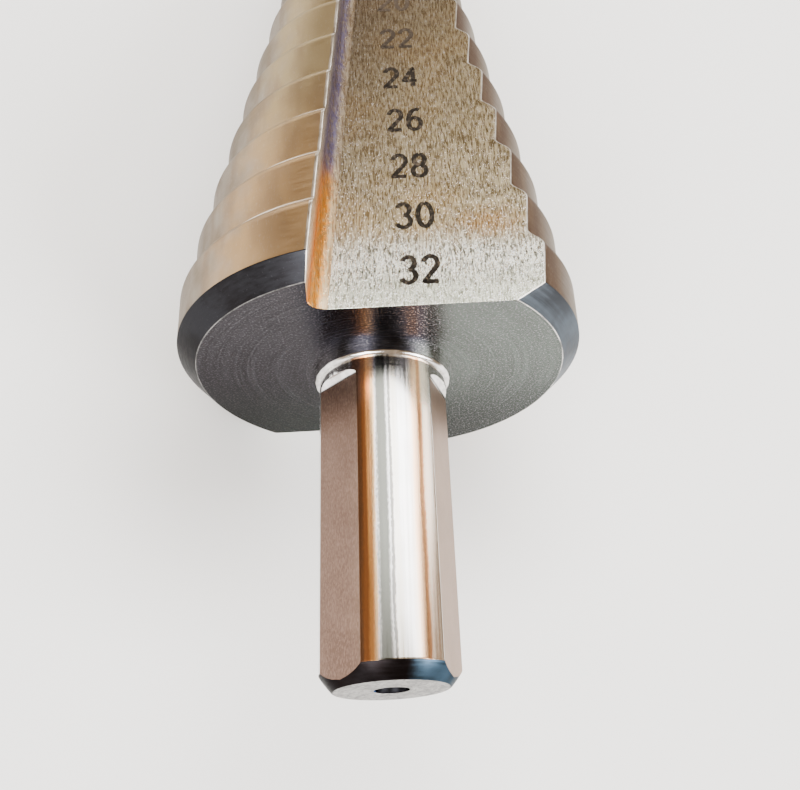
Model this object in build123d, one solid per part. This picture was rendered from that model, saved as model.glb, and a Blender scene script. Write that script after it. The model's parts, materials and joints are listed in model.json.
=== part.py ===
from build123d import *
import math
import os

# Step drill, 4 to 32 mm in 2 mm steps, turned and ground from one bar.
# All sizes are in millimetres.
#
# The drill is drawn in its own frame first: the axis is +Y and points to the tip, Y = 0 is the back
# face of the stepped cone, and the flute that ends up on top opens towards +Z. It is then laid down
# on the edges of the lower flute, which is how it comes to rest on a bench.

# ---- Driving dimensions: stepped cone ------------------------------------------------------------
LARGEST_DIAMETER = 32.0
SMALLEST_DIAMETER = 4.0
STEP_COUNT = 15             # evenly spaced diameters, the first and last included
STEP_PITCH = 5.0            # axial distance from one step to the next
FIRST_LAND_END = 5.5        # front corner of the largest step, measured from the back face
SHOULDER_ANGLE = 45.0       # flank between two steps, measured from the axis
SHOULDER_BREAK = 0.44       # narrow band that breaks the corner between a land and its flank
RIM_BEVEL = 1.5             # 45 degree bevel between the back face and the largest step
POINT_ANGLE = 118.0         # included angle of the drill point
POINT_FLAT_RADIUS = 0.25    # chisel edge left at the very tip

# ---- Driving dimensions: shank -------------------------------------------------------------------
SHANK_DIAMETER = 10.0
SHANK_LENGTH = 24.5         # from the back face to the end
SHANK_CHAMFER_RADIAL = 0.9
SHANK_CHAMFER_AXIAL = 1.15
SHANK_CHAMFER_CROWN = 0.04  # the ground chamfer bulges by this much
FLAT_COUNT = 3
FLAT_DEPTH = 0.5
FLAT_SHOULDER = 1.7         # length left round between the back face and the end of each flat
FLAT_PHASE = -46.0          # direction of the first flat, from the upper flute towards +X
COLLAR_STAND = 0.4          # the root collar stands out from the shank by this much
COLLAR_LENGTH = 1.0
COLLAR_LEDGE = 0.08         # flat ring between the shank and the collar's rounded edge
CENTRE_HOLE_DIAMETER = 1.6
CENTRE_HOLE_DEPTH = 3.6
CENTRE_MOUTH_DIAMETER = 2.5
CENTRE_MOUTH_ANGLE = 60.0

# ---- Driving dimensions: flutes ------------------------------------------------------------------
FLUTE_COUNT = 2
FLOOR_HEIGHT_BACK = 10.3    # flute floor above the axis at the back face
FLOOR_HEIGHT_TIP = 0.75     # the same at the front corner of the smallest step
RAKE_OFFSET_BACK = 4.6      # foot of the cutting wall, on the -X side of the axis, at the back face
RAKE_OFFSET_TIP = -0.2      # the same at the front corner of the smallest step
RAKE_LEAN = 5.7             # the cutting wall leans over the flute by this angle
ROOT_RADIUS_BACK = 1.25     # rounding between floor and cutting wall at the back face
ROOT_RADIUS_TIP = 0.7

# ---- Worked out from them ------------------------------------------------------------------------
largest_radius = LARGEST_DIAMETER / 2
smallest_radius = SMALLEST_DIAMETER / 2
radius_step = (largest_radius - smallest_radius) / (STEP_COUNT - 1)
shank_radius = SHANK_DIAMETER / 2
collar_radius = shank_radius + COLLAR_STAND
collar_round = COLLAR_STAND - COLLAR_LEDGE
flat_distance = shank_radius - FLAT_DEPTH
last_land_end = FIRST_LAND_END + (STEP_COUNT - 1) * STEP_PITCH
shoulder_length = radius_step / math.tan(math.radians(SHOULDER_ANGLE))
point_length = (smallest_radius - POINT_FLAT_RADIUS) / math.tan(math.radians(POINT_ANGLE / 2))
tip_position = last_land_end + point_length
cutter_margin = LARGEST_DIAMETER / 8
cutter_reach = LARGEST_DIAMETER


def step_radius(index: int) -> float:
    """Radius of a step; index 0 is the largest."""
    return largest_radius - index * radius_step


def land_end(index: int) -> float:
    """Position along the axis of a step's front corner."""
    return FIRST_LAND_END + index * STEP_PITCH


def along_flute(back: float, tip: float, position: float) -> float:
    """Value that changes evenly from the back face to the front corner of the smallest step."""
    return back + (tip - back) * position / last_land_end


def shoulder_corners(index: int) -> list:
    """Corners of one shoulder: end of the land, start of the flank and foot of the flank.

    The band between the first two leans by half the flank's angle, so it takes as much off the
    land as off the flank.
    """
    angle = math.radians(SHOULDER_ANGLE)
    setback = SHOULDER_BREAK / (2 * math.cos(angle / 2))
    radius = step_radius(index)
    corner = land_end(index)
    return [
        (radius, corner - setback),
        (radius - setback * math.sin(angle), corner + setback * math.cos(angle)),
        (step_radius(index + 1), corner + shoulder_length),
    ]


def chamfer_bulge() -> tuple:
    """Control point that lifts the middle of the shank's end chamfer by its crown."""
    slope = math.hypot(SHANK_CHAMFER_RADIAL, SHANK_CHAMFER_AXIAL)
    return (
        shank_radius - SHANK_CHAMFER_RADIAL / 2 + 2 * SHANK_CHAMFER_CROWN * SHANK_CHAMFER_AXIAL / slope,
        -SHANK_LENGTH + SHANK_CHAMFER_AXIAL / 2 - 2 * SHANK_CHAMFER_CROWN * SHANK_CHAMFER_RADIAL / slope,
    )


def turned_body() -> Part:
    """Shank, collar and stepped cone as one turned profile."""
    with BuildPart() as body:
        with BuildSketch(Plane.XY):
            with BuildLine():
                collar_start = -COLLAR_LENGTH
                shank_corner = (shank_radius, -SHANK_LENGTH + SHANK_CHAMFER_AXIAL)
                end_corner = (shank_radius - SHANK_CHAMFER_RADIAL, -SHANK_LENGTH)
                Line((0, -SHANK_LENGTH), end_corner)
                Bezier(end_corner, chamfer_bulge(), shank_corner)
                Polyline(
                    shank_corner,
                    (shank_radius, collar_start),
                    (shank_radius + COLLAR_LEDGE, collar_start),
                )
                RadiusArc(
                    (shank_radius + COLLAR_LEDGE, collar_start),
                    (collar_radius, collar_start + collar_round),
                    -collar_round,
                )
                shoulders = [
                    corner for index in range(STEP_COUNT - 1) for corner in shoulder_corners(index)
                ]
                Polyline(
                    (collar_radius, collar_start + collar_round),
                    (collar_radius, 0),
                    (largest_radius - RIM_BEVEL, 0),
                    (largest_radius, RIM_BEVEL),
                    *shoulders,
                    (smallest_radius, last_land_end),
                    (POINT_FLAT_RADIUS, tip_position),
                    (0, tip_position),
                    (0, -SHANK_LENGTH),
                )
            make_face()
        revolve(axis=Axis.Y)
    return body.part


def flute_section(position: float) -> Sketch:
    """Cross-section of the upper flute's cutter, square to the axis at one position."""
    floor = along_flute(FLOOR_HEIGHT_BACK, FLOOR_HEIGHT_TIP, position)
    wall = -along_flute(RAKE_OFFSET_BACK, RAKE_OFFSET_TIP, position)
    root = along_flute(ROOT_RADIUS_BACK, ROOT_RADIUS_TIP, position)
    lean = math.radians(RAKE_LEAN)
    # The wall leans over the flute, so the corner at its foot is sharper than a right angle.
    setback = root / math.tan((math.pi / 2 - lean) / 2)
    wall_tangent = (wall + setback * math.sin(lean), floor + setback * math.cos(lean))
    floor_tangent = (wall + setback, floor)
    wall_top = (wall + cutter_reach * math.tan(lean), floor + cutter_reach)
    plane = Plane(origin=(0, position, 0), x_dir=(1, 0, 0), z_dir=(0, -1, 0))
    with BuildSketch(plane) as section:
        with BuildLine():
            RadiusArc(wall_tangent, floor_tangent, -root)
            Polyline(
                floor_tangent,
                (cutter_reach, floor),
                (cutter_reach, floor + cutter_reach),
                wall_top,
                wall_tangent,
            )
        make_face()
    return section.sketch


def flute_cutter() -> Part:
    """Straight tapering cutter of the upper flute, from behind the back face to past the tip."""
    back = flute_section(-cutter_margin)
    front = flute_section(tip_position)
    return loft([back, front], ruled=True)


def shank_flat_cutter(index: int) -> Part:
    """Block that grinds one flat, up to the shoulder near the back face."""
    length = SHANK_LENGTH - FLAT_SHOULDER
    block = Box(SHANK_DIAMETER, 2 * length, SHANK_DIAMETER)
    block = Pos(0, -SHANK_LENGTH, flat_distance + SHANK_DIAMETER / 2) * block
    return Rot(0, FLAT_PHASE + index * 360 / FLAT_COUNT, 0) * block


def centre_hole() -> Part:
    """Centre-drilled hole in the shank end: a pilot with a drilled bottom and a conical mouth."""
    pilot = CENTRE_HOLE_DIAMETER / 2
    mouth = CENTRE_MOUTH_DIAMETER / 2
    mouth_depth = (mouth - pilot) / math.tan(math.radians(CENTRE_MOUTH_ANGLE / 2))
    bottom = pilot / math.tan(math.radians(POINT_ANGLE / 2))
    end = -SHANK_LENGTH
    with BuildPart() as hole:
        with BuildSketch(Plane.XY):
            with BuildLine():
                Polyline(
                    (0, end),
                    (mouth, end),
                    (pilot, end + mouth_depth),
                    (pilot, end + CENTRE_HOLE_DEPTH),
                    (0, end + CENTRE_HOLE_DEPTH + bottom),
                    (0, end),
                )
            make_face()
        revolve(axis=Axis.Y)
    return hole.part


def drill_along_axis() -> Part:
    """The finished drill, still along its own axis."""
    drill = turned_body() - centre_hole()
    for index in range(FLAT_COUNT):
        drill -= shank_flat_cutter(index)
    for index in range(FLUTE_COUNT):
        drill -= Rot(0, index * 360 / FLUTE_COUNT, 0) * flute_cutter()
    return drill


def floor_corner(index: int) -> Vector:
    """Trailing corner of a step's front rim, where the flute floor runs out."""
    height = along_flute(FLOOR_HEIGHT_BACK, FLOOR_HEIGHT_TIP, land_end(index))
    return Vector(math.sqrt(step_radius(index) ** 2 - height ** 2), land_end(index), height)


def wall_corner(index: int) -> Vector:
    """Cutting corner of a step's front rim, where the cutting wall runs out."""
    position = land_end(index)
    lean = math.radians(RAKE_LEAN)
    foot_x = -along_flute(RAKE_OFFSET_BACK, RAKE_OFFSET_TIP, position)
    foot_z = along_flute(FLOOR_HEIGHT_BACK, FLOOR_HEIGHT_TIP, position)
    reach = foot_x * math.sin(lean) + foot_z * math.cos(lean)
    gap = foot_x ** 2 + foot_z ** 2 - step_radius(index) ** 2
    length = -reach + math.sqrt(reach ** 2 - gap)
    return Vector(foot_x + length * math.sin(lean), position, foot_z + length * math.cos(lean))


def lower_depth(index: int, roll: float) -> float:
    """Depth below the axis that a step's front rim reaches once the lower flute's chord is level."""
    turn = math.radians(roll)
    corners = (wall_corner(index), floor_corner(index))
    return max(corner.Z * math.cos(turn) - corner.X * math.sin(turn) for corner in corners)


def lying_angles() -> tuple:
    """Roll about the axis, then pitch, that lay the drill on the rims of its lower flute.

    The two flutes are half a turn apart, so the corners of the upper one, mirrored through the
    axis, are what the drill lies on.
    """
    cutting = wall_corner(0)
    trailing = floor_corner(0)
    roll = math.degrees(math.atan2(trailing.Z - cutting.Z, trailing.X - cutting.X))
    deepest = lower_depth(0, roll)
    slopes = [
        (deepest - lower_depth(index, roll)) / (land_end(index) - land_end(0))
        for index in range(1, STEP_COUNT)
    ]
    slopes.append(deepest / (tip_position - land_end(0)))
    return roll, math.degrees(math.atan(min(slopes)))


def lay_down(shape: Part) -> Part:
    """Turn the drill into its rest pose and stand the middle of its box on the origin."""
    roll, pitch = lying_angles()
    lying = Rot(-pitch, 0, 0) * Rot(0, roll, 0) * shape
    box = lying.bounding_box()
    return Pos(-box.center().X, -box.center().Y, -box.min.Z) * lying


step_drill = lay_down(drill_along_axis())
os.makedirs("parts", exist_ok=True)
export_step(step_drill, "parts/step_drill.step")
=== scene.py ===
import json
import logging
import math
from dataclasses import dataclass, field, replace
from enum import Enum
from functools import cached_property

import bpy
import numpy as np
from mathutils import Matrix, Vector
from mathutils.geometry import delaunay_2d_cdt

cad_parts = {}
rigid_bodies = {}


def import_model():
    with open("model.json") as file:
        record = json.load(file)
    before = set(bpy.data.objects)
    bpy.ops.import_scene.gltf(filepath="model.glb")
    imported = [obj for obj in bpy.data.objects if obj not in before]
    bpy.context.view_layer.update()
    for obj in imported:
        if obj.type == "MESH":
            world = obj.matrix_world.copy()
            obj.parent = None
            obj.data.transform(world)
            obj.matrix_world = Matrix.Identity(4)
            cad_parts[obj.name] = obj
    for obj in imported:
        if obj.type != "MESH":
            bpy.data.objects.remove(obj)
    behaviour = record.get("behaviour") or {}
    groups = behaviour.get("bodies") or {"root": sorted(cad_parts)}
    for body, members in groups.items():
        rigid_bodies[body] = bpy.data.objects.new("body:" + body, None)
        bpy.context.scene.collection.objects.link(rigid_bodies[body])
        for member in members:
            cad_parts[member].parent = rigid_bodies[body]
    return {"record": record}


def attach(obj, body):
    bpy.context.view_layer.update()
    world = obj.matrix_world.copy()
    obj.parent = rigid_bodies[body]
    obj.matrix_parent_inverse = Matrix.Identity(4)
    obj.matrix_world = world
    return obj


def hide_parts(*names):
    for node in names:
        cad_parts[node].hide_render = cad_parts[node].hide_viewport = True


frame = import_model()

LOG = logging.getLogger("step_drill")
MM = 0.001
PLACE = "drill_mm"
Colour = tuple[float, float, float]
Point = tuple[float, float]
Socket = bpy.types.NodeSocket
Value = Socket | float | tuple[float, ...]


class Surface(Enum):
    """Every differently finished surface of the drill, in material slot order."""

    LAND = 0
    FLANK = 1
    FLOOR = 2
    ROOT = 3
    WALL = 4
    EDGE = 5
    BEVEL = 6
    BACK = 7
    COLLAR = 8
    SHANK = 9
    FLAT = 10
    CHAMFER = 11
    END = 12
    HOLE = 13
    MARGIN = 14
    RIM = 15


class Grain(Enum):
    """Which way the marks of the last tool run."""

    AXIAL = "along the drill"
    TURNED = "around the drill"


# One ring of a turned profile: its radius, its place along the axis and the surface it starts.
Ring = tuple[float, float, Surface]


@dataclass(frozen=True)
class DrillFrame:
    """The drill's own axes in the model: u and v across it, s along it from the back face."""

    origin: Vector
    across: Vector
    up: Vector
    along: Vector

    @classmethod
    def from_record(cls, record: dict, shank_length: float, flat_phase: float) -> "DrillFrame":
        """Find the axes from the mounts on the shank.

        Args:
            record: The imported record, with its mounts in metres.
            shank_length: Length from the back face to the shank's end, in mm.
            flat_phase: Direction of the first chuck flat, in degrees from up towards across.

        Returns:
            The drill's frame.
        """
        mounts = {mount["name"]: mount for mount in record["mounts"]}
        along = -Vector(mounts["shank_end"]["axis"])
        flat = Vector(mounts["chuck_flat_1"]["axis"])
        turned = along.cross(flat)
        turn = math.radians(flat_phase)
        up = flat * math.cos(turn) - turned * math.sin(turn)
        across = flat * math.sin(turn) + turned * math.cos(turn)
        on_axis = Vector(mounts["centre_hole"]["pos_m"])
        to_end = (Vector(mounts["shank_end"]["pos_m"]) - on_axis).dot(along)
        origin = on_axis + along * (to_end + shank_length * MM)
        return cls(origin, across.normalized(), up.normalized(), along.normalized())

    def direction(self, u: float, v: float, s: float) -> Vector:
        """A direction in the model from one along the drill's own axes."""
        return self.across * u + self.up * v + self.along * s

    def point(self, u: float, v: float, s: float) -> Vector:
        """A point in the model, in metres, from drill millimetres."""
        return self.origin + self.direction(u, v, s) * MM


@dataclass
class Shell:
    """Vertices in drill millimetres, and faces with the surface that each belongs to."""

    points: list[tuple[float, float, float]] = field(default_factory=list)
    faces: list[tuple[int, ...]] = field(default_factory=list)
    surfaces: list[Surface] = field(default_factory=list)

    def add_ring(self, outline: list[Point], position: float) -> list[int]:
        """Add one closed ring of points square to the axis.

        Args:
            outline: Points (u, v) of the ring.
            position: Where the ring stands along the axis.

        Returns:
            The ring's vertex numbers.
        """
        first = len(self.points)
        self.points.extend((u, v, position) for u, v in outline)
        return list(range(first, len(self.points)))

    def add_band(self, back: list[int], front: list[int], surfaces: list[Surface]) -> None:
        """Join two rings of as many points with quads that face outwards.

        Args:
            back: Ring on the shank's side.
            front: Ring on the tip's side.
            surfaces: Surface of each segment of the rings.
        """
        count = len(back)
        for index in range(count):
            after = (index + 1) % count
            self.add_face((back[index], front[index], front[after], back[after]), surfaces[index])

    def add_face(self, corners: tuple[int, ...], surface: Surface) -> None:
        """Add one face with its surface."""
        self.faces.append(corners)
        self.surfaces.append(surface)

    def build(
        self, name: str, place: DrillFrame, finishes: list[bpy.types.Material]
    ) -> bpy.types.Object:
        """Make the mesh object, with the drill coordinates kept for its materials.

        Args:
            name: Name of the piece.
            place: The drill's frame.
            finishes: Materials in the order of Surface.

        Returns:
            The new object, linked into the scene.
        """
        mesh = bpy.data.meshes.new(name)
        local = np.array(self.points)
        axes = np.array([place.across, place.up, place.along])
        world = np.array(place.origin) + local @ axes * MM
        mesh.from_pydata(world.tolist(), [], self.faces)
        kept = mesh.attributes.new(PLACE, "FLOAT_VECTOR", "POINT")
        kept.data.foreach_set("vector", local.astype(np.float32).ravel())
        for finish in finishes:
            mesh.materials.append(finish)
        mesh.polygons.foreach_set("material_index", [surface.value for surface in self.surfaces])
        mesh.polygons.foreach_set("use_smooth", [True] * len(self.faces))
        return linked(name, mesh)


def linked(name: str, data: bpy.types.ID) -> bpy.types.Object:
    """Put new data into the scene.

    Args:
        name: Name of the object.
        data: Its mesh, light or camera.

    Returns:
        The object that holds it.
    """
    made = bpy.data.objects.new(name, data)
    bpy.context.scene.collection.objects.link(made)
    return made


def spread(start: float, end: float, count: int) -> list[float]:
    """Evenly spaced values from start to end, both included."""
    return [start + (end - start) * index / count for index in range(count + 1)]


def between(first: Point, last: Point, count: int) -> list[Point]:
    """Evenly spaced points of a straight run, both ends included."""
    return list(zip(spread(first[0], last[0], count), spread(first[1], last[1], count)))


def half_turned(point: Point) -> Point:
    """The point half a turn round the axis."""
    return -point[0], -point[1]


def softened(before: Point, corner: Point, after: Point, size: float) -> list[Point]:
    """Three points that round one corner.

    Args:
        before: A point on the run that comes to the corner.
        corner: The sharp corner.
        after: A point on the run that leaves it.
        size: How far from the corner the rounding starts and ends.

    Returns:
        Start, middle and end of the rounding.
    """
    ends: list[Point] = []
    for target in (before, after):
        reach = math.dist(corner, target)
        share = min(0.5, size / reach) if reach > 0 else 0.0
        ends.append(tuple(at + (to - at) * share for at, to in zip(corner, target)))
    middle = tuple(0.5 * at + 0.25 * (start + end) for at, start, end in zip(corner, *ends))
    return [ends[0], middle, ends[1]]


def ringed(places: list[Point], surface: Surface, ahead: Surface) -> list[Ring]:
    """Rings at places (radius, position), of which the last starts the surface ahead."""
    return [(*place, surface) for place in places[:-1]] + [(*places[-1], ahead)]


@dataclass(frozen=True)
class Flute:
    """One straight tapering flute: a flat floor, a cutting wall and the rounding between them."""

    run_out: float = 75.5
    floor_back: float = 10.3
    floor_tip: float = 0.75
    wall_back: float = 4.6
    wall_tip: float = -0.2
    lean: float = math.radians(5.7)
    root_back: float = 1.25
    root_tip: float = 0.7
    edge: float = 0.07
    margin: float = 0.17
    least_radius: float = 0.3
    most_share: float = 0.125
    land_parts: int = 55
    floor_parts: int = 14
    root_parts: int = 10
    wall_parts: int = 7

    def at(self, back: float, tip: float, position: float) -> float:
        """Value that changes evenly from the back face to the smallest step."""
        return back + (tip - back) * position / self.run_out

    def half_ring(
        self, radius: float, position: float, sink: float
    ) -> tuple[list[Point], list[Surface]]:
        """Half of the drill's outline at one position: a land, then the flute under it.

        Args:
            radius: Radius of the land there.
            position: Distance from the back face.
            sink: How far the flute's edge is rounded away there.

        Returns:
            Points from the cutting edge round the land and the lower flute, and the surface
            of the segment that each point starts.
        """
        floor = self.at(self.floor_back, self.floor_tip, position) - sink
        wall = -self.at(self.wall_back, self.wall_tip, position) - sink
        root = self.at(self.root_back, self.root_tip, position)
        run = (math.sin(self.lean), math.cos(self.lean))
        setback = root / math.tan((math.pi / 2 - self.lean) / 2)
        reach = wall * run[0] + floor * run[1]
        height = -reach + math.sqrt(max(0.0, reach ** 2 - wall ** 2 - floor ** 2 + radius ** 2))
        cutting = (wall + height * run[0], floor + height * run[1])
        trailing = (math.sqrt(max(0.0, radius ** 2 - floor ** 2)), floor)
        foot = (wall + setback * run[0], floor + setback * run[1])
        toe = half_turned((wall + setback, floor))

        start = math.atan2(-cutting[0], cutting[1])
        end = math.pi - math.atan2(trailing[0], trailing[1])
        trim, margin = (
            min(width / max(radius, self.least_radius), (end - start) * self.most_share)
            for width in (self.edge, self.margin)
        )
        turns = spread(start + trim + margin, end - trim, self.land_parts)
        land = [
            (-radius * math.sin(angle), radius * math.cos(angle))
            for angle in [start + trim] + turns
        ]
        cutting_round = softened(foot, cutting, land[0], self.edge)
        trailing_round = softened(land[-1], half_turned(trailing), toe, self.edge)
        floor_run = between(trailing_round[2], toe, self.floor_parts)
        rounding = [
            (toe[0] + root * math.sin(turn), toe[1] - root * (1 - math.cos(turn)))
            for turn in spread(0.0, math.pi / 2 + self.lean, self.root_parts)
        ]
        top = half_turned(cutting_round[0])
        wall_run = between(half_turned(foot), top, self.wall_parts)

        points = [cutting_round[1]] + land + [trailing_round[1]] + floor_run
        points += rounding[1:-1] + wall_run
        surfaces = [Surface.EDGE, Surface.MARGIN] + [Surface.LAND] * self.land_parts
        surfaces += [Surface.EDGE] * 2 + [Surface.FLOOR] * self.floor_parts
        surfaces += [Surface.ROOT] * self.root_parts + [Surface.WALL] * self.wall_parts
        surfaces.append(Surface.EDGE)
        return [self.held_in(point, radius) for point in points], surfaces

    @staticmethod
    def held_in(point: Point, radius: float) -> Point:
        """Pull a point in to the land's radius where the flute has run out.

        Args:
            point: The point.
            radius: Radius of the land there.

        Returns:
            The point on or inside the radius.
        """
        reach = math.hypot(*point)
        share = min(1.0, radius / reach) if reach > 0 else 1.0
        return point[0] * share, point[1] * share


@dataclass
class SteppedCone:
    """The cutting cone: fifteen lands with flanks between them, two flutes and the point."""

    largest: float = 32.0
    smallest: float = 4.0
    steps: int = 15
    pitch: float = 5.0
    first_end: float = 5.5
    flank_angle: float = math.radians(45)
    shoulder_round: float = 1.1
    rim_bevel: float = 1.5
    point_angle: float = math.radians(118)
    point_flat: float = 0.25
    edge: float = 0.05
    rim_edge: float = 0.045
    foot_round: float = 0.09
    clear: float = 0.3
    land_share: float = 0.7
    land_parts: int = 3
    round_parts: int = 5
    point_parts: int = 4
    last_holds: tuple[float, ...] = (3.0, 1.5)
    flute: Flute = field(default_factory=Flute)

    def profile(self) -> list[Ring]:
        """List every ring of the cone from the back face to the point.

        Returns:
            Radius, position and the surface in front, for each ring.
        """
        rim = self.largest / 2
        start = (rim - self.rim_bevel, 0.0)
        corner = (rim, self.rim_bevel)
        rings = ringed(softened((0, 0), start, corner, self.rim_edge), Surface.RIM, Surface.BEVEL)
        bevelled = softened(start, corner, (rim, self.first_end), self.edge)
        rings += ringed(bevelled, Surface.BEVEL, Surface.LAND)
        drop = (self.largest - self.smallest) / 2 / (self.steps - 1)
        for index in range(self.steps - 1):
            rings += self.shoulder(rim - index * drop, self.first_end + index * self.pitch, drop)
        last = self.smallest / 2
        end = self.first_end + (self.steps - 1) * self.pitch
        rings += [(last, end - before, Surface.LAND) for before in self.last_holds]
        tip = (self.point_flat, end + (last - self.point_flat) / math.tan(self.point_angle / 2))
        rounded = softened((last, end - 1), (last, end), tip, self.edge)
        point = rounded + between((last, end), tip, self.point_parts)[1:]
        rings += ringed(point, Surface.FLANK, Surface.FLANK)
        return rings

    def shoulder(self, radius: float, corner: float, drop: float) -> list[Ring]:
        """List the rings of one land's front half, its rounded shoulder, its flank and its foot.

        Args:
            radius: Radius of the land.
            corner: Where its sharp front corner would be.
            drop: How much smaller the next land's radius is.

        Returns:
            Radius, position and the surface in front, for each ring.
        """
        tangent = self.shoulder_round * math.tan(self.flank_angle / 2)
        begin = corner - tangent
        back = max(corner - self.pitch + drop, self.rim_bevel) + self.clear
        held = spread(back, begin, self.land_parts)[:-1]
        rings = [(radius, place, Surface.LAND) for place in held]
        for turn in spread(0.0, self.flank_angle, self.round_parts):
            rings.append((
                radius - self.shoulder_round * (1 - math.cos(turn)),
                begin + self.shoulder_round * math.sin(turn),
                Surface.LAND if turn < self.flank_angle * self.land_share else Surface.FLANK,
            ))
        foot = (radius - drop, corner + drop / math.tan(self.flank_angle))
        rounding = softened(rings[-1][:2], foot, (foot[0], foot[1] + 1), self.foot_round)
        return rings + ringed(rounding, Surface.FLANK, Surface.LAND)

    def ring(
        self, radius: float, position: float, band: Surface
    ) -> tuple[list[Point], list[Surface]]:
        """The whole outline at one position.

        Args:
            radius: Radius of the land there.
            position: Distance from the back face.
            band: Surface of the lands in front of it.

        Returns:
            Points round the drill and the surface of the segment that each starts.
        """
        sink = max(0.0, self.edge - position)
        points, surfaces = self.flute.half_ring(radius, position, sink)
        if band is not Surface.LAND:
            dressed = {Surface.LAND: band, Surface.MARGIN: band}
            surfaces = [dressed.get(surface, surface) for surface in surfaces]
        return points + [half_turned(point) for point in points], surfaces * 2

    def add_to(self, shell: Shell) -> list[int]:
        """Add the cone to the shell.

        Args:
            shell: The shell that is being built.

        Returns:
            The ring where the back face begins.
        """
        rings: list[list[int]] = []
        surfaces: list[Surface] = []
        for radius, position, band in self.profile():
            points, coming = self.ring(radius, position, band)
            rings.append(shell.add_ring(points, position))
            if len(rings) > 1:
                shell.add_band(rings[-2], rings[-1], surfaces)
            surfaces = coming
        shell.add_face(tuple(reversed(rings[-1])), Surface.FLANK)
        return rings[0]


@dataclass
class ChuckShank:
    """The shank: root collar, three chuck flats, end chamfer and centre hole."""

    diameter: float = 10.0
    length: float = 24.5
    chamfer_radial: float = 0.9
    chamfer_axial: float = 1.15
    chamfer_crown: float = 0.04
    flats: int = 3
    flat_depth: float = 0.5
    flat_shoulder: float = 1.7
    flat_phase: float = -46.0
    bright_share: float = 0.8
    collar_stand: float = 0.4
    collar_length: float = 1.0
    collar_ledge: float = 0.08
    hole_diameter: float = 1.6
    hole_depth: float = 3.6
    mouth_diameter: float = 2.5
    mouth_angle: float = math.radians(60)
    drill_angle: float = math.radians(118)
    drill_tip: float = 0.02
    drill_share: float = 0.97
    edge: float = 0.05
    hold: float = 0.1
    face_hold: float = 1.4
    straight_from: float = -3.0
    chamfer_way: Point = (0.5, 0.6)
    round_parts: int = 5
    straight_parts: int = 8
    chamfer_parts: int = 8
    flat_shares: tuple[float, ...] = (-1, -0.975, -0.6, -0.2, 0.2, 0.6, 0.975)
    round_shares: tuple[float, ...] = (0, 0.015, 0.1, 0.2, 0.3, 0.4, 0.5, 0.6, 0.7, 0.8, 0.9, 0.985)

    def outline(self, radius: float, flat: float) -> tuple[list[Point], list[bool]]:
        """A ring that is round, or round with three flats.

        Args:
            radius: Radius of the round parts.
            flat: Distance of the flats from the axis; as large as the radius where there is none.

        Returns:
            Points round the shank, and whether each segment lies on a flat.
        """
        half = math.acos(min(1.0, flat / radius))
        points: list[Point] = []
        on_flat: list[bool] = []
        for index in range(self.flats):
            middle = 2 * math.pi * index / self.flats - math.radians(self.flat_phase)
            for share in self.flat_shares:
                across = share * radius * math.sin(half)
                depth = flat if abs(share) < 1 else radius * math.cos(half)
                points.append(self.turned(across, depth, middle))
                on_flat.append(True)
            gap = 2 * math.pi / self.flats - 2 * half
            for share in self.round_shares:
                angle = half + gap * share
                across, depth = radius * math.sin(angle), radius * math.cos(angle)
                points.append(self.turned(across, depth, middle))
                on_flat.append(False)
        return points, on_flat

    @staticmethod
    def turned(across: float, depth: float, middle: float) -> Point:
        """Turn a point given against a flat's own direction to its place round the shank.

        Args:
            across: Distance to the side of the flat.
            depth: Distance from the axis towards the flat.
            middle: The flat's direction, in radians from up.

        Returns:
            The point (u, v).
        """
        cosine = math.cos(middle)
        sine = math.sin(middle)
        return -(across * cosine + depth * sine), depth * cosine - across * sine

    def profile(self) -> list[Ring]:
        """List every ring of the shank from the back face to the bottom of the hole.

        Returns:
            Radius, position and the surface behind, for each ring.
        """
        radius = self.diameter / 2
        collar = radius + self.collar_stand
        fillet = self.collar_stand - self.collar_ledge
        rings = [(collar, 0.0, Surface.COLLAR)]
        for turn in spread(0.0, math.pi / 2, self.round_parts):
            rings.append((
                collar - fillet * (1 - math.cos(turn)),
                -self.collar_length + fillet - fillet * math.sin(turn),
                Surface.COLLAR,
            ))
        rings.append((radius, -self.collar_length, Surface.SHANK))
        rings.append((radius, -self.collar_length - self.hold, Surface.SHANK))
        for turn in spread(0.0, math.pi / 2, self.round_parts):
            run = self.flat_depth * (1 - math.cos(turn))
            rings.append((radius, -self.flat_shoulder - run, Surface.SHANK))
        shank_end = -self.length + self.chamfer_axial
        straight = spread(self.straight_from, shank_end + self.hold, self.straight_parts)
        rings += [(radius, place, Surface.SHANK) for place in straight]
        slope = math.hypot(self.chamfer_radial, self.chamfer_axial)
        for share in spread(0.0, 1.0, self.chamfer_parts):
            bulge = 4 * self.chamfer_crown * share * (1 - share)
            rings.append((
                radius - self.chamfer_radial * share + bulge * self.chamfer_axial / slope,
                shank_end - self.chamfer_axial * share - bulge * self.chamfer_radial / slope,
                Surface.CHAMFER,
            ))
        end = rings.pop()[0]
        mouth = self.mouth_diameter / 2
        pilot = self.hole_diameter / 2
        back = -self.length
        foot = back + (mouth - pilot) / math.tan(self.mouth_angle / 2)
        bottom = back + self.hole_depth
        tip = bottom + self.drill_share * pilot / math.tan(self.drill_angle / 2)
        chamfer = (end + self.chamfer_way[0], back + self.chamfer_way[1])
        corner = softened(chamfer, (end, back), (mouth, back), self.edge)
        rings += ringed(corner, Surface.CHAMFER, Surface.END)
        rings.append((end - self.face_hold, back, Surface.END))
        inner = softened((end, back), (mouth, back), (pilot, foot), self.edge)
        rings.append((*inner[0], Surface.END))
        hole = [*inner[1:], (pilot, foot), (pilot, bottom), (self.drill_tip, tip)]
        rings += [(*place, Surface.HOLE) for place in hole]
        return rings

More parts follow.
